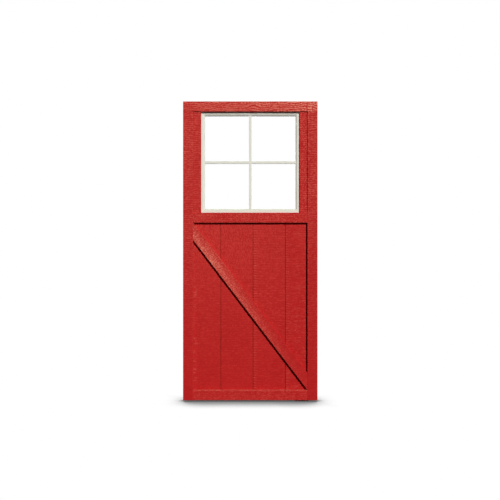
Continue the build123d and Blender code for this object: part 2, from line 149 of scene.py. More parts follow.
# Patches of the slow noises, across, in depth and along, and how far they make the grain drift.
BOARD_BEND = (0.08, 0.08, 0.11)
BOARD_DRIFT = 0.03
BOARD_MOTTLE = (0.11, 0.11, 0.28)
SHEET_BEND = (0.12, 0.12, 0.3)
SHEET_DRIFT_ACROSS = 0.03
SHEET_DRIFT_ALONG = 0.02
SHEET_MOTTLE = (0.16, 0.16, 0.3)

# Marks of the sheet, in flecks across, in depth and along, and what sets them off from a board's.
SHEET_FIBRE = (0.5, 1, 2)
SHEET_FLECK = (2.4, 1, 0.75)
SHEET_DASH = (3.2, 1, 0.8)
SHEET_REACH = 1.4
SHEET_ROWS = 0.04

# A pore's length in widths, its share in a fleck, and the make of a fleck's noise.
PORE_STRETCH = 30
PORE_SHARE = 0.16
FLECK_DETAIL = 4.0
FLECK_ROUGHNESS = 0.55

# Levels of a noise between which its marks come up.
SAW_STEP = (0.34, 0.66)
FIBRE_STEP = (0.40, 0.64)
FLECK_STEP = (0.47, 0.61)
MOTTLE_STEP = (0.25, 0.75)
SHEET_FIBRE_STEP = (0.45, 0.56)
SHEET_FLECK_STEP = (0.48, 0.64)
SHEET_DASH_STEP = (0.54, 0.68)
SHEET_MOTTLE_STEP = (0.36, 0.64)

# Where the sheet's coat changes: heights over the floor, ways from its middle or from a groove's edge.
STREAKED_HEIGHTS = (0.7, 1.0)
TORN_RIGHT = (0.24, 0.26)
TORN_LEFT = (0.355, 0.38)
CALM_WIDTH = 0.02
TICK_START = 0.001
TICK_END = (0.01, 0.035)
TICK_LEVELS = (0.15, 0.11)
TICK_ROW = (-0.1, 1.0)
GROOVE_EASE = 0.002
# Depths below the sheet's face over which painted shade darkens the grooves.
GROOVE_SHADE_DEPTHS = (0.0003, 0.0012)

# Draws of the boards' marks.
FRONT_SEED_STEP = 3.1
BACK_SEED = 60.0
BACK_SEED_STEP = 2.7

COAT_GLOSS = 0.08
RUBBER_BLOOM = (0.09, 0.09, 0.088)
SCUFFED_NYLON = (0.11, 0.11, 0.112)
BRONZE_PORE = (0.12, 0.07, 0.03)

# Nearer than these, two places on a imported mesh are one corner, one cut, one level or one groove.
SAME_CORNER = 1e-6
SAME_CUT = 1e-5
SAME_LEVEL = 2e-4
SAME_GROOVE = 0.01


class ScrewHead(NamedTuple):
    """A head: its face as a share of its radius, and how far rim, seat and neck lie below the face."""

    face: float
    rim: float
    seat: float
    neck: float = 0.0  # where it is zero, the head tapers to the shank at 45 degrees


FLAT_HEAD = ScrewHead(face=0.96, rim=0.0002, seat=0.0003)
PAN_HEAD = ScrewHead(face=0.72, rim=0.00143, seat=0.0026, neck=0.00265)
SCREWS = {"board_screws": FLAT_HEAD, "brace_screws": PAN_HEAD, "track_screws": FLAT_HEAD}
SCREW_SIDES = 24
TIP_SHARE = 0.06

FLOOR_HALF = 12.0
FLOOR_DROP = 0.0005
FLOOR_GREY = (0.05, 0.05, 0.05, 1)
WHITE = (1, 1, 1, 1)
# Brightness of the floor by how open it lies to the room.
CONTACT_STOPS = ((0.0, 0.06), (0.52, 0.2), (0.66, 0.34), (0.8, 0.68), (0.93, 1.0))
CONTACT_SAMPLES = 16
KEY_WAY = (-0.5, 1.0, -0.7)
KEY_SPREAD = math.radians(1.0)
REAR_WAY = (0.45, -1.0, -0.8)
REAR_SPREAD = math.radians(20.0)
SENSOR_WIDTH = 36.0


class Wire:
    """A socket of a node tree. Arithmetic on wires adds Math nodes."""

    def __init__(self, tree, socket=None):
        self.tree = tree
        self.socket = socket

    def make(self, kind, settings=None, inputs=None, output=0):
        """Adds a node, its settings first and then its sockets, and gives one of its outputs."""
        node = self.tree.nodes.new(kind)
        for name, value in (settings or {}).items():
            if name == "stops":
                set_stops(node.color_ramp, value)
            elif name == "choices":
                add_choices(node.index_switch_items, value)
            else:
                setattr(node, name, value)
        for key, value in (inputs or {}).items():
            socket = pick(node.inputs, key)
            for part in value if isinstance(value, list) else [value]:
                if isinstance(part, Wire):
                    self.tree.links.new(part.socket, socket)
                else:
                    socket.default_value = part
        return Wire(self.tree, pick(node.outputs, output) if node.outputs else None)

    def math(self, operation, *values):
        return self.make("ShaderNodeMath", {"operation": operation}, dict(enumerate(values)))

    def __add__(self, other):
        return self.math("ADD", self, other)

    __radd__ = __add__

    def __sub__(self, other):
        return self.math("SUBTRACT", self, other)

    def __rsub__(self, other):
        return self.math("SUBTRACT", other, self)

    def __mul__(self, other):
        return self.math("MULTIPLY", self, other)

    __rmul__ = __mul__

    def __pow__(self, other):
        return self.math("POWER", self, other)

    def __abs__(self):
        return self.math("ABSOLUTE", self)

    def wave(self, pitch):
        """A sine of this length, from -1 to 1, with a crest at each pitch."""
        return self.math("SINE", self * (math.tau / pitch))

    def between(self, low, high, kind="SMOOTHSTEP"):
        """0 at low and 1 at high, eased unless a kind is given, and held outside."""
        return self.make(
            "ShaderNodeMapRange",
            {"interpolation_type": kind},
            {"Value": self, "From Min": low, "From Max": high},
        )

    def limited(self):
        return self.make("ShaderNodeClamp", None, {"Value": self})

    def tint(self, low, high):
        """A colour from low, where this wire is 0, to high, where it is 1."""
        return self.make(
            "ShaderNodeMix",
            {"data_type": "RGBA"},
            {"Factor_Float": self, "A_Color": opaque(low), "B_Color": opaque(high)},
            "Result_Color",
        )

    def axes(self):
        return self.make("ShaderNodeSeparateXYZ", None, {"Vector": self}).outlets(*"XYZ")

    def outlets(self, *names):
        """Named outputs of the node that this wire comes from."""
        return tuple(Wire(self.tree, pick(self.socket.node.outputs, name)) for name in names)

    def grain(self, size, seed, detail=2.0, roughness=0.5):
        """Noise on this vector, with patches of about the size given, for all axes or for each."""
        lengths = size if isinstance(size, tuple) else (size, size, size)
        scale = tuple(1 / length for length in lengths)
        stretched = self.make("ShaderNodeMapping", None, {"Vector": self, "Scale": scale})
        return self.make(
            "ShaderNodeTexNoise",
            {"noise_dimensions": "4D"},
            {"Vector": stretched, "W": seed, "Scale": 1.0, "Detail": detail, "Roughness": roughness},
        )

    def relief(self, depth, strength):
        """A bumped normal with this wire as the height."""
        return self.make(
            "ShaderNodeBump", None, {"Height": self, "Distance": depth, "Strength": strength}
        )


def pick(sockets, key):
    """A socket by its number, or by its identifier or name."""
    if isinstance(key, int):
        return sockets[key]
    for socket in sockets:
        if key in (socket.identifier, socket.name):
            return socket
    raise KeyError(f"no socket {key!r} among {[socket.name for socket in sockets]}")


def set_stops(ramp, stops):
    while len(ramp.elements) < len(stops):
        ramp.elements.new(1.0)
    for element, (place, value) in zip(ramp.elements, stops):
        element.position = place
        element.color = opaque(value)


def add_choices(items, count):
    while len(items) < count:
        items.new()


def opaque(colour):
    """A colour as its socket takes it, with full alpha."""
    return colour if isinstance(colour, Wire) else (*colour[:3], 1.0)


def scaled(parts, share):
    """A colour made darker or lighter, or a set of lengths made shorter or longer, by a share."""
    return tuple(share * part for part in parts)


def new_finish(name):
    material = bpy.data.materials.new(name)
    material.use_nodes = True
    material.node_tree.nodes.clear()
    return material, Wire(material.node_tree)


def set_surface(start, sockets):
    shader = start.make("ShaderNodeBsdfPrincipled", None, sockets, "BSDF")
    start.make("ShaderNodeOutputMaterial", None, {"Surface": shader})


def own_place(start, centre=(0, 0, 0), turn=UPRIGHT):
    """Object coordinates from a piece's middle, its length turned to the third axis."""
    spot = start.make("ShaderNodeTexCoord", None, None, "Object")
    return start.make(
        "ShaderNodeMapping",
        {"vector_type": "TEXTURE"},
        {"Vector": spot, "Location": centre, "Rotation": (0, turn, 0)},
    )


def dress(node, material):
    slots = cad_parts[node].data.materials
    slots.clear()
    slots.append(material)


def stand(name, data):
    """Puts a new object with a mesh, a lamp or a camera into the scene."""
    holder = bpy.data.objects.new(name, data)
    bpy.context.scene.collection.objects.link(holder)
    return holder


class SawnCoatSettings(bpy.types.PropertyGroup):
    deep_red: FloatVectorProperty(
        name="Deep red", description="Coat in the hollows of the saw marks",
        subtype="COLOR", size=3, min=0, max=1, default=(0.375, 0.0075, 0.0080),
    )
    bright_red: FloatVectorProperty(
        name="Bright red", description="Coat on sound wood",
        subtype="COLOR", size=3, min=0, max=1, default=(0.525, 0.0212, 0.0196),
    )
    # Colour of the raised fibre, and of the painted sheen on the upper boards.
    pale_and_sheen_red: FloatVectorProperty(
        name="Pale red", description="Raised fibres where the coat is thin and weathered",
        subtype="COLOR", size=3, min=0, max=1, default=(0.84, 0.315, 0.212),
    )
    # Painted shade in the bottoms of the sheet's grooves.
    groove_shade: FloatVectorProperty(
        name="Grime", description="Dirt in the grooves of the sheet",
        subtype="COLOR", size=3, min=0, max=1, default=(0.17, 0.014, 0.009),
    )
    saw_pitch: FloatProperty(
        name="Saw pitch", description="Distance between saw marks",
        unit="LENGTH", min=0.001, default=0.0145,
    )
    saw_reach: FloatProperty(
        name="Saw reach", description="Length of a saw mark across a board",
        unit="LENGTH", min=0.005, default=0.09,
    )
    fibre_width: FloatProperty(
        name="Fibre width", description="Width of a grain streak",
        unit="LENGTH", min=0.0005, default=0.006,
    )
    fibre_length: FloatProperty(
        name="Fibre length", description="Length of a grain streak",
        unit="LENGTH", min=0.005, default=0.09,
    )
    fleck: FloatProperty(
        name="Fleck", description="Size that the flecks of raised fibre are counted in",
        unit="LENGTH", min=0.001, default=0.007,
    )
    tick_pitch: FloatProperty(
        name="Tick pitch", description="Distance between the torn ticks beside the sheet's grooves",
        unit="LENGTH", min=0.001, default=0.017,
    )
    pore_width: FloatProperty(
        name="Pore width", description="Width of the finest grain lines",
        unit="LENGTH", min=0.0002, default=0.0014,
    )
    relief: FloatProperty(
        name="Relief", description="Depth of the saw marks",
        unit="LENGTH", min=0, default=0.0011,
    )
    # The band holds wear, and on the left stile and the bottom rail a painted highlight.
    worn_and_lit_width: FloatProperty(
        name="Edge wear", description="Width of the worn band along a board's long edges",
        unit="LENGTH", min=0.0005, default=0.006,
    )


class WindowSettings(bpy.types.PropertyGroup):
    ivory: FloatVectorProperty(
        name="Ivory", description="Vinyl of the sash and muntins",
        subtype="COLOR", size=3, min=0, max=1, default=(0.705, 0.69, 0.61),
    )
    aged_ivory: FloatVectorProperty(
        name="Aged ivory", description="Vinyl where it has yellowed",
        subtype="COLOR", size=3, min=0, max=1, default=(0.645, 0.62, 0.53),
    )
    # Darker tint on upward faces: dust, and painted shade on the sash bottom rail's bevel.
    dust: FloatVectorProperty(
        name="Dust", description="Vinyl where dust settles on faces that slope upward",
        subtype="COLOR", size=3, min=0, max=1, default=(0.56, 0.565, 0.45),
    )
    glass: FloatVectorProperty(
        name="Glass", description="Tint of the pane",
        subtype="COLOR", size=3, min=0, max=1, default=(0.997, 1.0, 0.999),
    )
    rubber: FloatVectorProperty(
        name="Rubber", description="Glazing gasket",
        subtype="COLOR", size=3, min=0, max=1, default=(0.025, 0.025, 0.026),
    )
    dust_width: FloatProperty(
        name="Dust width", description="Band of dust along the pane's edges",
        unit="LENGTH", min=0.001, default=0.03,
    )


class HardwareSettings(bpy.types.PropertyGroup):
    zinc: FloatVectorProperty(
        name="Zinc", description="Plated steel of the plate, axles and screws",
        subtype="COLOR", size=3, min=0, max=1, default=(0.55, 0.56, 0.57),
    )
    aluminium: FloatVectorProperty(
        name="Aluminium", description="Bars and keeper strips of the track",
        subtype="COLOR", size=3, min=0, max=1, default=(0.62, 0.63, 0.64),
    )
    nylon: FloatVectorProperty(
        name="Nylon", description="Rollers, stops and floor guide",
        subtype="COLOR", size=3, min=0, max=1, default=(0.03, 0.03, 0.032),
    )
    bronze: FloatVectorProperty(
        name="Bronze", description="Roller bushes",
        subtype="COLOR", size=3, min=0, max=1, default=(0.47, 0.29, 0.12),
    )


class ScrewSettings(bpy.types.PropertyGroup):
    shank_radius: FloatProperty(
        name="Shank radius", description="Radius of a wood screw's shank",
        unit="LENGTH", min=0.0005, default=0.0022,
    )
    point_length: FloatProperty(
        name="Point length", description="Length of the tapered point",
        unit="LENGTH", min=0.0005, default=0.004,
    )
    recess_width: FloatProperty(
        name="Recess width", description="Width of the cross slot's arms",
        unit="LENGTH", min=0.0001, default=0.0011,
    )
    recess_length: FloatProperty(
        name="Recess length", description="Length of the cross slot's arms, end to end",
        unit="LENGTH", min=0.0001, default=0.0052,
    )
    recess_depth: FloatProperty(
        name="Recess depth", description="Depth of the cross slot",
        unit="LENGTH", min=0.0001, default=0.0014,
    )
    seed: IntProperty(name="Seed", description="Draw of the heads' turns", default=7)


class StageSettings(bpy.types.PropertyGroup):
    distance: FloatProperty(
        name="Distance", description="Camera's distance from the front face",
        unit="LENGTH", min=1, default=4.0,
    )
    frame_width: FloatProperty(
        name="Frame width", description="Width that the camera takes in at the front face",
        unit="LENGTH", min=1, default=3.40,
    )
    aim_across: FloatProperty(
        name="Aim across", description="Camera's place across the leaf, from its middle",
        unit="LENGTH", default=-0.0019,
    )
    aim_height: FloatProperty(
        name="Aim height", description="Camera's height over the floor",
        unit="LENGTH", default=1.0314,
    )
    key_level: FloatProperty(
        name="Key level", description="Strength of the lamp at the front", min=0, default=4.0
    )
    rear_level: FloatProperty(
        name="Rear level", description="Strength of the lamp at the back", min=0, default=2.6
    )
    fill_level: FloatProperty(
        name="Fill level", description="Strength of the light from all round", min=0, default=0.03
    )
    contact_reach: FloatProperty(
        name="Contact reach", description="How far the contact shadow spreads on the floor",
        unit="LENGTH", min=0.01, default=0.24,
    )


def sawn_coat(node, board, lie, seed):
    """Matt red coat on one rough-sawn board: pale raised fibres on the saw marks, a painted sheen that
    grows towards the board's high end, and worn edges with painted highlights.
    """
    coat = bpy.context.scene.door_coat
    centre, turn, half_width, half_length = lie
    material, start = new_finish(f"sawn_red_{node}")
    place = own_place(start, centre, turn)
    across, depth, along = place.axes()
    bend = place.grain(BOARD_BEND, seed + 0.3, 1.0) - 0.5
    across_bent = across + bend * board.flow
    along_bent = along + bend * BOARD_DRIFT
    marks = start.make("ShaderNodeCombineXYZ", None, {"X": across_bent, "Y": depth, "Z": along_bent})
    row = across_bent if board.turn == LEVEL else along_bent
    ridge = row.wave(coat.saw_pitch)
    saw = marks.grain((coat.saw_reach, coat.saw_reach, coat.saw_pitch), seed).between(*SAW_STEP)
    fibre = marks.grain((coat.fibre_width, coat.fibre_width, coat.fibre_length), seed + 1.7)
    fibre = (fibre + ridge * board.rows).between(*FIBRE_STEP)
    wide, tall = (coat.fleck * share for share in board.flecks)
    pore_length = PORE_STRETCH * coat.pore_width
    pore = marks.grain((coat.pore_width, coat.pore_width, pore_length), seed + 5.3)
    fleck = marks.grain((wide, wide, tall), seed + 2.9, FLECK_DETAIL, FLECK_ROUGHNESS)
    fleck = fleck + pore * PORE_SHARE - PORE_SHARE / 2
    fleck = (fleck + ridge * board.rows).between(*FLECK_STEP)
    mottle = place.grain(BOARD_MOTTLE, seed + 4.1).between(*MOTTLE_STEP)
    low_end, high_end = board.pale_and_sheen
    # The pale share grows along the board towards its high end: raised fibre, and a painted sheen.
    share = along.between(-half_length, half_length * (2 * board.reach - 1), "LINEAR")
    pale_and_sheen_run = share ** board.fade * (high_end - low_end) + low_end
    if board.lean:
        pale_and_sheen_run = pale_and_sheen_run * (1 - across.between(-half_width, half_width) * board.lean)
    # Edge bands: wear, and painted highlights on edges that face the light.
    edges = [side.between(half_width - coat.worn_and_lit_width, half_width) for side in (0 - across, across)]
    worn_and_lit = (edges[0] * board.wear_and_highlight[0] + edges[1] * board.wear_and_highlight[1]) * (fleck * 0.6 + 0.4)
    long = (1 - share * 0.6) * board.streaks
    raised = (fleck * (2.2 - long * 1.6) + fibre * long * 1.8) * board.crisp + 0.9 * (1 - board.crisp)
    pale_and_sheen = (raised * pale_and_sheen_run * (mottle * 0.6 + 0.7) + worn_and_lit).limited()
    sound = (fleck * 0.8 + fibre * 0.2) * (pale_and_sheen_run * 6 + 0.25)
    sound = sound + saw * 0.2 + mottle * 0.15 + pore * 0.5 - 0.17
    red = sound.limited().tint(scaled(coat.deep_red, board.tone), scaled(coat.bright_red, board.tone))
    height = saw * 0.15 + fibre * 0.25 + fleck * 0.45 + pore * 0.15
    set_surface(start, {
        "Base Color": pale_and_sheen.tint(red, coat.pale_and_sheen_red),
        "Roughness": 0.74 + fibre * 0.14,
        "Specular IOR Level": COAT_GLOSS,
        "Normal": height.relief(coat.relief, 0.4),
    })
    dress(node, material)


def board_lie(node, turn):
    """A straight board's middle, turn, half width and half length, from its packed box."""
    low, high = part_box(node)
    sides = sorted(((high - low).x, (high - low).z))
    return (low + high) / 2, turn, sides[0] / 2, sides[1] / 2


def brace_lie(node):
    """The brace's middle, turn, half width and half length, from its two upright end cuts."""
    low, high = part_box(node)
    ends = {"left": [], "right": []}
    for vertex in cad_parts[node].data.vertices:
        for side, x in (("left", low.x), ("right", high.x)):
            if abs(vertex.co.x - x) < SAME_CUT:
                ends[side].append(vertex.co.z)
    cut = max(ends["left"]) - min(ends["left"])
    rise = max(ends["left"]) - max(ends["right"])
    turn = math.atan2(low.x - high.x, rise)
    return (low + high) / 2, turn, abs(cut * math.sin(turn)) / 2, math.hypot(high.x - low.x, rise) / 2


def groove_edges(node):
    """Edges of each groove in the sheet's front face, and the depths of the face and the grooves."""
    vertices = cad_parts[node].data.vertices
    levels = sorted({round(v.co.y, 4) for v in vertices})
    grooves = []
    for x in sorted(v.co.x for v in vertices if abs(v.co.y - levels[1]) < SAME_LEVEL):
        if grooves and x - grooves[-1][1] < SAME_GROOVE:
            grooves[-1][1] = x
        else:
            grooves.append([x, x])
    return grooves, levels[0], levels[1]


class BARNDOOR_OT_coat_front_boards(bpy.types.Operator):
    """Coats the front frame's boards and the brace"""

    bl_idname = "barn_door.coat_front_boards"
    bl_label = "Coat front boards"

    def execute(self, context):
        for number, (node, board) in enumerate(FRONT_BOARDS.items()):
            lie = brace_lie(node) if node == "diagonal_brace" else board_lie(node, board.turn)
            sawn_coat(node, board, lie, FRONT_SEED_STEP * number)
        return {"FINISHED"}


class BARNDOOR_OT_coat_back_boards(bpy.types.Operator):
    """Coats the back frame's boards and the window stops"""

    bl_idname = "barn_door.coat_back_boards"
    bl_label = "Coat back boards"

    def execute(self, context):
        for number, (node, board) in enumerate(BACK_BOARDS.items()):
            seed = BACK_SEED + BACK_SEED_STEP * number
            sawn_coat(node, board, board_lie(node, board.turn), seed)
        return {"FINISHED"}


class BARNDOOR_OT_coat_siding(bpy.types.Operator):
    """Coats the grooved sheet, with painted shade in its grooves"""

    bl_idname = "barn_door.coat_siding"
    bl_label = "Coat siding"

    def execute(self, context):
        coat = context.scene.door_coat
        low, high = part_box("siding_panel")
        grooves, y_face, y_floor = groove_edges("siding_panel")
        material, start = new_finish("sawn_red_siding")
        place = own_place(start)
        across, depth, along = place.axes()
        bend = place.grain(SHEET_BEND, 11.3, 1.0) - 0.5
        across_bent = across + bend * SHEET_DRIFT_ACROSS
        along_bent = along + bend * SHEET_DRIFT_ALONG
        marks = start.make(
            "ShaderNodeCombineXYZ", None, {"X": across_bent, "Y": depth, "Z": along_bent}
        )
        reach = SHEET_REACH * coat.saw_reach
        saw = marks.grain((reach, reach, coat.saw_pitch), 12.0).between(*SAW_STEP)
        row = along_bent.wave(coat.tick_pitch)
        fibre = marks.grain(scaled(SHEET_FIBRE, coat.fleck), 13.0, 3.0).between(*SHEET_FIBRE_STEP)
        pore_length = PORE_STRETCH * coat.pore_width
        pore = marks.grain((coat.pore_width, coat.pore_width, pore_length), 17.0)
        fleck = marks.grain(scaled(SHEET_FLECK, coat.fleck), 14.0, FLECK_DETAIL, FLECK_ROUGHNESS)
        fleck = fleck + pore * PORE_SHARE - PORE_SHARE / 2
        fleck = (fleck + row * SHEET_ROWS).between(*SHEET_FLECK_STEP)
        dash = marks.grain(scaled(SHEET_DASH, coat.fleck), 16.0, 1.0).between(*SHEET_DASH_STEP)
        patch = place.grain(SHEET_MOTTLE, 15.0).between(*SHEET_MOTTLE_STEP)
        front = 1 - depth.between(y_floor, y_floor + GROOVE_EASE)
        upright = along.between(*STREAKED_HEIGHTS) * 0.6 + 0.25
        ticks = 0.0
        for groove, level in zip(grooves[-2:], TICK_LEVELS):
            edge = groove[1]
            upright = upright * (1 - across.between(edge - CALM_WIDTH, edge) * 0.5)
            past = across.between(edge + TICK_END[0], edge + TICK_END[1])
            band = across.between(edge - TICK_START, edge) * (1 - past)
            ticks = band * level + ticks
        ticks = ticks * row.between(*TICK_ROW) * (dash * 0.7 + 0.3)
        torn = across.between(*TORN_RIGHT) * 0.25 + (0 - across).between(*TORN_LEFT) * 0.7
        torn = torn * dash * (patch * 0.21 + 0.09)
        raised = (fleck * (1 - upright * 0.85) + fibre * upright) * 0.85 + 0.12
        # Paler and brighter red towards the top of the sheet: raised fibre, and a painted sheen.
        share = along.between(low.z, high.z, "LINEAR")
        right_bay = across.between(*grooves[-1])
        thin_and_sheen = (share * 0.10 + 0.010) * (1 - right_bay * 0.4)
        pale_and_sheen = (raised * 0.7 + 0.2) * thin_and_sheen + (ticks + torn) * front
        sound = raised * (share * 0.5 + 0.45) + saw * 0.1 + patch * 0.1 + pore * 0.5 - 0.2
        red = sound.limited().tint(coat.deep_red, coat.bright_red)
        weathered = pale_and_sheen.limited().tint(red, coat.pale_and_sheen_red)
        # Painted shade: the groove bottoms are tinted dark.
        groove_shade_mask = depth.between(y_face + GROOVE_SHADE_DEPTHS[0], y_face + GROOVE_SHADE_DEPTHS[1]) * front
        height = saw * 0.15 + raised * 0.65 + pore * 0.2
        set_surface(start, {
            "Base Color": (groove_shade_mask * 0.44).tint(weathered, coat.groove_shade),
            "Roughness": 0.76 + fibre * 0.12,
            "Specular IOR Level": COAT_GLOSS,
            "Normal": height.relief(coat.relief, 0.22),
        })
        dress("siding_panel", material)
        return {"FINISHED"}


def ivory_vinyl(name, ledge=None):
    """Satin ivory vinyl. A darker tint, partly dust and partly painted shade, lies on what is higher
    than the ledge, where one is given.
    """
    window = bpy.context.scene.door_window
    material, start = new_finish(name)
    place = own_place(start)
    cloud = place.grain(0.14, 21.0, 3.0).between(0.3, 0.75)
    draw = place.grain(0.006, 22.0)
    peel = place.grain(0.0011, 23.0, 1.0)
    colour = (cloud * 0.55 + draw * 0.25).limited().tint(window.ivory, window.aged_ivory)
    rough = 0.36 + cloud * 0.12 + draw * 0.06
    if ledge is not None:
        # Darker tint on the ledge: dust, and painted shade.
        dust = place.axes()[2].between(ledge - LEDGE_SHADE_EASE, ledge + LEDGE_SHADE_EASE)
        colour = dust.tint(colour, window.dust)
        rough = rough + dust * 0.2
    set_surface(start, {
        "Base Color": colour,
        "Roughness": rough,
        "Specular IOR Level": 0.35,
        "Normal": peel.relief(0.00012, 0.25),
    })
    return material


class BARNDOOR_OT_finish_sash(bpy.types.Operator):
    """Gives the sash, muntins and glazing beads their ivory vinyl, with dust and painted shade on the
    ledges
    """

    bl_idname = "barn_door.finish_sash"
    bl_label = "Finish sash"

    def execute(self, context):
        clean = ivory_vinyl("ivory_vinyl")
        for node in SASH:
            dress(node, clean)
        for node, fall in LEDGES.items():
            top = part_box(node)[1].z
            dress(node, ivory_vinyl(f"shaded_dusty_vinyl_{node}", top - fall))
        return {"FINISHED"}


class BARNDOOR_OT_glaze(bpy.types.Operator):
    """Gives the pane its clear glass and the gasket its rubber"""

    bl_idname = "barn_door.glaze"
    bl_label = "Glaze"

    def execute(self, context):
        window = context.scene.door_window
        low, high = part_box("glass_pane")
        half = (high - low) / 2
        glass, start = new_finish("clear_float_glass")
        place = own_place(start, (low + high) / 2)
        across, _, up = place.axes()
        band = window.dust_width
        rim = abs(across).between(half.x - band, half.x) + abs(up).between(half.z - band, half.z)
        film = place.grain(0.07, 31.0, 4.0, 0.6).between(0.45, 0.8)
        dust = (rim * film * 0.6).limited()
        set_surface(start, {
            "Base Color": dust.tint(window.glass, scaled(window.glass, 0.93)),
            "Roughness": dust * 0.12,
            "Transmission Weight": 1.0,
            "IOR": 1.45,
            "Alpha": 0.3,
        })
        dress("glass_pane", glass)
        gasket, start = new_finish("glazing_rubber")
        place = own_place(start)
        skin = place.grain(0.002, 32.0)
        bloom = place.grain(0.03, 33.0).between(0.4, 0.8)
        set_surface(start, {
            "Base Color": (bloom * 0.4).tint(window.rubber, RUBBER_BLOOM),
            "Roughness": 0.62 + bloom * 0.2,
            "Normal": skin.relief(0.0001, 0.3),
        })
        dress("glazing_gasket", gasket)
        return {"FINISHED"}


def zinc_plate():
    """Zinc-plated steel: dull spangle under a thin clear passivation."""
    hardware = bpy.context.scene.door_hardware
    material, start = new_finish("zinc_plate")
    place = own_place(start)
    spangle = start.make("ShaderNodeTexVoronoi", None, {"Vector": place, "Scale": 260.0}, "Color")
    facet = start.make("ShaderNodeRGBToBW", None, {"Color": spangle})
    haze = place.grain(0.017, 51.0, 3.0).between(0.35, 0.7)
    rub = place.grain((0.0011, 0.0011, 0.025), 52.0)
    set_surface(start, {
        "Base Color": (haze * 0.6 + facet * 0.3).limited().tint(
            hardware.zinc, scaled(hardware.zinc, 0.72)
        ),
        "Metallic": 1.0,
        "Roughness": 0.28 + haze * 0.14 + facet * 0.08,
        "Normal": (rub * 0.5 + facet * 0.2).relief(0.0001, 0.2),
    })
    return material


class BARNDOOR_OT_finish_track(bpy.types.Operator):
    """Gives the track's bars and keeper strips their drawn aluminium"""

    bl_idname = "barn_door.finish_track"
    bl_label = "Finish track"

    def execute(self, context):
        hardware = context.scene.door_hardware
        material, start = new_finish("drawn_aluminium")
        place = own_place(start)
        lines = place.grain((0.3, 0.0007, 0.0007), 61.0, 3.0, 0.6)
        stain = place.grain(0.06, 62.0, 3.0).between(0.4, 0.75)
        set_surface(start, {
            "Base Color": (stain * 0.5 + lines * 0.3).limited().tint(
                hardware.aluminium, scaled(hardware.aluminium, 0.7)
            ),
            "Metallic": 1.0,
            "Roughness": 0.22 + lines * 0.14 + stain * 0.1,
            "Normal": lines.relief(0.00008, 0.3),
        })
        for node in TRACK:
            dress(node, material)
        return {"FINISHED"}


class BARNDOOR_OT_finish_carriage(bpy.types.Operator):
    """Finishes the wall plate, axles, rollers, bushes, stops and floor guide"""

    bl_idname = "barn_door.finish_carriage"
    bl_label = "Finish carriage"

    def execute(self, context):
        hardware = context.scene.door_hardware
        steel = zinc_plate()
        for node in PLATED_STEEL:
            dress(node, steel)
        nylon, start = new_finish("moulded_nylon")
        place = own_place(start)
        grit = place.grain(0.0007, 71.0)
        scuff = place.grain(0.014, 72.0, 4.0, 0.65).between(0.5, 0.8)
        set_surface(start, {
            "Base Color": (scuff * 0.5).tint(hardware.nylon, SCUFFED_NYLON),
            "Roughness": 0.46 + scuff * 0.25,
            "Normal": grit.relief(0.0001, 0.25),
        })
        for node in MOULDED_NYLON:
            dress(node, nylon)
        bronze, start = new_finish("sintered_bronze")
        place = own_place(start)
        pores = place.grain(0.0005, 73.0, 1.0).between(0.5, 0.75)
        set_surface(start, {
            "Base Color": (pores * 0.7).tint(hardware.bronze, BRONZE_PORE),
            "Metallic": 1.0,
            "Roughness": 0.38 + pores * 0.25,
        })
        for node in BUSHES:
            dress(node, bronze)
        return {"FINISHED"}


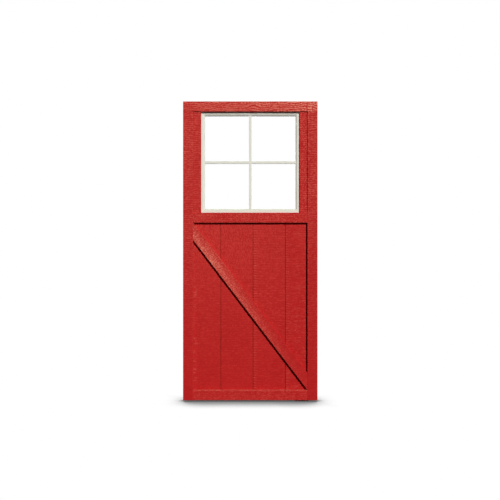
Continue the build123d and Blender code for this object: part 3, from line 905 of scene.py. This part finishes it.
def screw_tree():
    """Node tree that turns one screw from its sizes and drives a copy at each point of a mesh."""
    tree = bpy.data.node_groups.new("Driven screws", "GeometryNodeTree")
    tree.interface.new_socket("Geometry", in_out="INPUT", socket_type="NodeSocketGeometry")
    sizes = (
        "Face Radius", "Head Radius", "Shank Radius", "Rim", "Seat", "Neck", "Length", "Point",
        "Recess Length", "Recess Width", "Recess Depth",
    )
    for name in sizes:
        tree.interface.new_socket(name, in_out="INPUT", socket_type="NodeSocketFloat")
    tree.interface.new_socket("Seed", in_out="INPUT", socket_type="NodeSocketInt")
    tree.interface.new_socket("Metal", in_out="INPUT", socket_type="NodeSocketMaterial")
    tree.interface.new_socket("Geometry", in_out="OUTPUT", socket_type="NodeSocketGeometry")
    start = Wire(tree)
    entry = start.make("NodeGroupInput")
    face, head, shank, rim, seat, neck, length, point, arm_length, arm_width, arm_depth = (
        entry.outlets(*sizes)
    )
    points, seed, metal = entry.outlets("Geometry", "Seed", "Metal")

    def chosen(values):
        sockets = dict(enumerate([start.make("GeometryNodeInputIndex"), *values]))
        settings = {"data_type": "FLOAT", "choices": len(values)}
        return start.make("GeometryNodeIndexSwitch", settings, sockets)

    profile = (
        (0.0, face), (rim, head), (seat, head), (neck, shank), (point - length, shank),
        (0 - length, shank * TIP_SHARE),
    )
    heights, radii = (chosen(values) for values in zip(*profile))
    spine = start.make("GeometryNodeMeshLine", None, {"Count": len(profile)})
    spot = start.make("ShaderNodeCombineXYZ", None, {"Z": heights})
    spine = start.make("GeometryNodeSetPosition", None, {"Geometry": spine, "Position": spot})
    spine = start.make("GeometryNodeMeshToCurve", None, {"Mesh": spine})
    ring = start.make(
        "GeometryNodeCurvePrimitiveCircle", None, {"Resolution": SCREW_SIDES, "Radius": 1.0}
    )
    turned = start.make(
        "GeometryNodeCurveToMesh", None,
        {"Curve": spine, "Profile Curve": ring, "Scale": radii, "Fill Caps": True},
    )
    arm = start.make(
        "ShaderNodeCombineXYZ", None, {"X": arm_length, "Y": arm_width, "Z": arm_depth * 2}
    )
    slot = start.make("GeometryNodeMeshCube", None, {"Size": arm})
    crossed = start.make("GeometryNodeTransform", None, {"Geometry": slot, "Rotation": (0, 0, LEVEL)})
    slots = start.make(
        "GeometryNodeMeshBoolean", {"operation": "UNION", "solver": "EXACT"},
        {"Mesh 2": [slot, crossed]},
    )
    cut = start.make(
        "GeometryNodeMeshBoolean", {"operation": "DIFFERENCE", "solver": "EXACT"},
        {"Mesh 1": turned, "Mesh 2": slots},
    )
    spin = start.make(
        "FunctionNodeRandomValue", {"data_type": "FLOAT_VECTOR"},
        {"Min": (-LEVEL, 0, 0), "Max": (-LEVEL, LEVEL, 0), "Seed": seed},
    )
    driven = start.make(
        "GeometryNodeInstanceOnPoints", None,
        {"Points": points, "Instance": cut, "Rotation": spin},
    )
    whole = start.make("GeometryNodeRealizeInstances", None, {"Geometry": driven})
    plated = start.make("GeometryNodeSetMaterial", None, {"Geometry": whole, "Material": metal})
    start.make("NodeGroupOutput", None, {"Geometry": plated})
    return tree


def screw_places(node):
    """Middle of each screw's top, and the length and head radius, read from a packed group."""
    group = bmesh.new()
    group.from_mesh(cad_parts[node].data)
    bmesh.ops.remove_doubles(group, verts=group.verts, dist=SAME_CORNER)
    waiting = set(group.verts)
    tops = []
    sizes = []
    while waiting:
        reached = [waiting.pop()]
        for vertex in reached:
            for edge in vertex.link_edges:
                other = edge.other_vert(vertex)
                if other in waiting:
                    waiting.remove(other)
                    reached.append(other)
        low = Vector(min(v.co[i] for v in reached) for i in range(3))
        high = Vector(max(v.co[i] for v in reached) for i in range(3))
        tops.append(((low.x + high.x) / 2, high.y, (low.z + high.z) / 2))
        sizes.append((high.y - low.y, (high.x - low.x) / 2))
    group.free()
    return sorted(tops), max(sizes)


class BARNDOOR_OT_drive_screws(bpy.types.Operator):
    """Drives the screws of the boards, the brace and the track, with crossed slots in their heads"""

    bl_idname = "barn_door.drive_screws"
    bl_label = "Drive screws"

    def execute(self, context):
        screw = context.scene.door_screws
        tree = screw_tree()
        entries = [item for item in tree.interface.items_tree if item.in_out == "INPUT"]
        keys = {item.name: item.identifier for item in entries}
        metal = bpy.data.materials.get("zinc_plate") or zinc_plate()
        for node, head in SCREWS.items():
            tops, (length, head_radius) = screw_places(node)
            mesh = bpy.data.meshes.new(f"{node}_driven")
            mesh.from_pydata(tops, [], [])
            piece = stand(f"{node}_driven", mesh)
            modifier = piece.modifiers.new("Screws", "NODES")
            modifier.node_group = tree
            values = {
                "Face Radius": head_radius * head.face,
                "Head Radius": head_radius,
                "Shank Radius": screw.shank_radius,
                "Rim": -head.rim,
                "Seat": -head.seat,
                "Neck": -(head.neck or head_radius - screw.shank_radius),
                "Length": length,
                "Point": screw.point_length,
                "Recess Length": screw.recess_length,
                "Recess Width": screw.recess_width,
                "Recess Depth": screw.recess_depth,
                "Seed": screw.seed,
                "Metal": metal,
            }
            for name, value in values.items():
                modifier[keys[name]] = value
            context.view_layer.update()
            solid = bpy.data.meshes.new_from_object(
                piece.evaluated_get(context.evaluated_depsgraph_get())
            )
            if not solid.polygons:
                raise RuntimeError(f"{node}: no screw was made")
            piece.modifiers.remove(modifier)
            piece.data = solid
            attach(piece, "leaf")
            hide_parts(node)
        return {"FINISHED"}


def lamp(name, towards, strength, spread):
    """A distant lamp whose light travels along a direction."""
    data = bpy.data.lights.new(name, "SUN")
    data.energy = strength
    data.angle = spread
    stand(name, data).rotation_euler = Vector(towards).to_track_quat("-Z", "Y").to_euler()


def seen_directly(start):
    """1 for a ray from the camera, off a glossy surface or through glass."""
    path = start.make("ShaderNodeLightPath")
    camera, glossy, through = path.outlets("Is Camera Ray", "Is Glossy Ray", "Is Transmission Ray")
    return (camera + glossy + through).limited()


class BARNDOOR_OT_set_stage(bpy.types.Operator):
    """Lays a white floor, hangs the lamps and sets the camera square to the front"""

    bl_idname = "barn_door.set_stage"
    bl_label = "Set stage"

    def execute(self, context):
        stage = context.scene.door_stage
        scene = context.scene
        scene.view_settings.view_transform = "Standard"
        mesh = bpy.data.meshes.new("floor")
        sides = ((-1, -1), (1, -1), (1, 1), (-1, 1))
        corners = [(x * FLOOR_HALF, y * FLOOR_HALF, -FLOOR_DROP) for x, y in sides]
        mesh.from_pydata(corners, [], [(0, 1, 2, 3)])
        floor = stand("floor", mesh)
        white, start = new_finish("white_floor")
        shade = start.make(
            "ShaderNodeAmbientOcclusion", {"samples": CONTACT_SAMPLES},
            {"Distance": stage.contact_reach}, "AO",
        )
        stops = [(openness, (level, level, level)) for openness, level in CONTACT_STOPS]
        page = start.make("ShaderNodeValToRGB", {"stops": stops}, {"Fac": shade}, "Color")
        glow = start.make("ShaderNodeEmission", None, {"Color": page, "Strength": 1.0})
        matt = start.make("ShaderNodeBsdfDiffuse", None, {"Color": FLOOR_GREY})
        both = start.make("ShaderNodeMixShader", None, {0: seen_directly(start), 1: matt, 2: glow})
        start.make("ShaderNodeOutputMaterial", None, {"Surface": both})
        mesh.materials.append(white)

        world = bpy.data.worlds.new("white_surround")
        world.use_nodes = True
        world.node_tree.nodes.clear()
        start = Wire(world.node_tree)
        fill = start.make(
            "ShaderNodeBackground", None, {"Color": WHITE, "Strength": stage.fill_level}
        )
        page = start.make("ShaderNodeBackground", None, {"Color": WHITE, "Strength": 1.0})
        both = start.make("ShaderNodeMixShader", None, {0: seen_directly(start), 1: fill, 2: page})
        start.make("ShaderNodeOutputWorld", None, {"Surface": both})
        scene.world = world

        lamp("key", KEY_WAY, stage.key_level, KEY_SPREAD)
        lamp("rear", REAR_WAY, stage.rear_level, REAR_SPREAD)

        data = bpy.data.cameras.new("front")
        data.sensor_width = SENSOR_WIDTH
        data.lens = data.sensor_width * stage.distance / stage.frame_width
        camera = stand("front", data)
        camera.location = (stage.aim_across, solid_box[0][1] - stage.distance, stage.aim_height)
        camera.rotation_euler = (LEVEL, 0, 0)
        scene.camera = camera
        return {"FINISHED"}


class BARNDOOR_PT_sidebar(bpy.types.Panel):
    """Lists the door's finishes and their settings"""

    bl_idname = "BARNDOOR_PT_sidebar"
    bl_label = "Barn Door"
    bl_space_type = "VIEW_3D"
    bl_region_type = "UI"
    bl_category = "Barn Door"

    def draw(self, context):
        for owner in SETTINGS:
            box = self.layout.box()
            group = getattr(context.scene, owner)
            for name in group.__annotations__:
                box.prop(group, name)
        for step in STEPS:
            self.layout.operator(step.bl_idname)


SETTINGS = {
    "door_coat": SawnCoatSettings,
    "door_window": WindowSettings,
    "door_hardware": HardwareSettings,
    "door_screws": ScrewSettings,
    "door_stage": StageSettings,
}
STEPS = (
    BARNDOOR_OT_coat_front_boards,
    BARNDOOR_OT_coat_back_boards,
    BARNDOOR_OT_coat_siding,
    BARNDOOR_OT_finish_sash,
    BARNDOOR_OT_glaze,
    BARNDOOR_OT_finish_track,
    BARNDOOR_OT_finish_carriage,
    BARNDOOR_OT_drive_screws,
    BARNDOOR_OT_set_stage,
)
CLASSES = (*SETTINGS.values(), *STEPS, BARNDOOR_PT_sidebar)


def register():
    for item in CLASSES:
        bpy.utils.register_class(item)
    for owner, group in SETTINGS.items():
        setattr(bpy.types.Scene, owner, PointerProperty(type=group))


def unregister():
    for owner in SETTINGS:
        delattr(bpy.types.Scene, owner)
    for item in reversed(CLASSES):
        bpy.utils.unregister_class(item)


def main():
    register()
    bpy.ops.barn_door.coat_front_boards()
    bpy.ops.barn_door.coat_back_boards()
    bpy.ops.barn_door.coat_siding()
    bpy.ops.barn_door.finish_sash()
    bpy.ops.barn_door.glaze()
    bpy.ops.barn_door.finish_track()
    bpy.ops.barn_door.finish_carriage()
    bpy.ops.barn_door.drive_screws()
    bpy.ops.barn_door.set_stage()


if __name__ == "__main__":
    main()
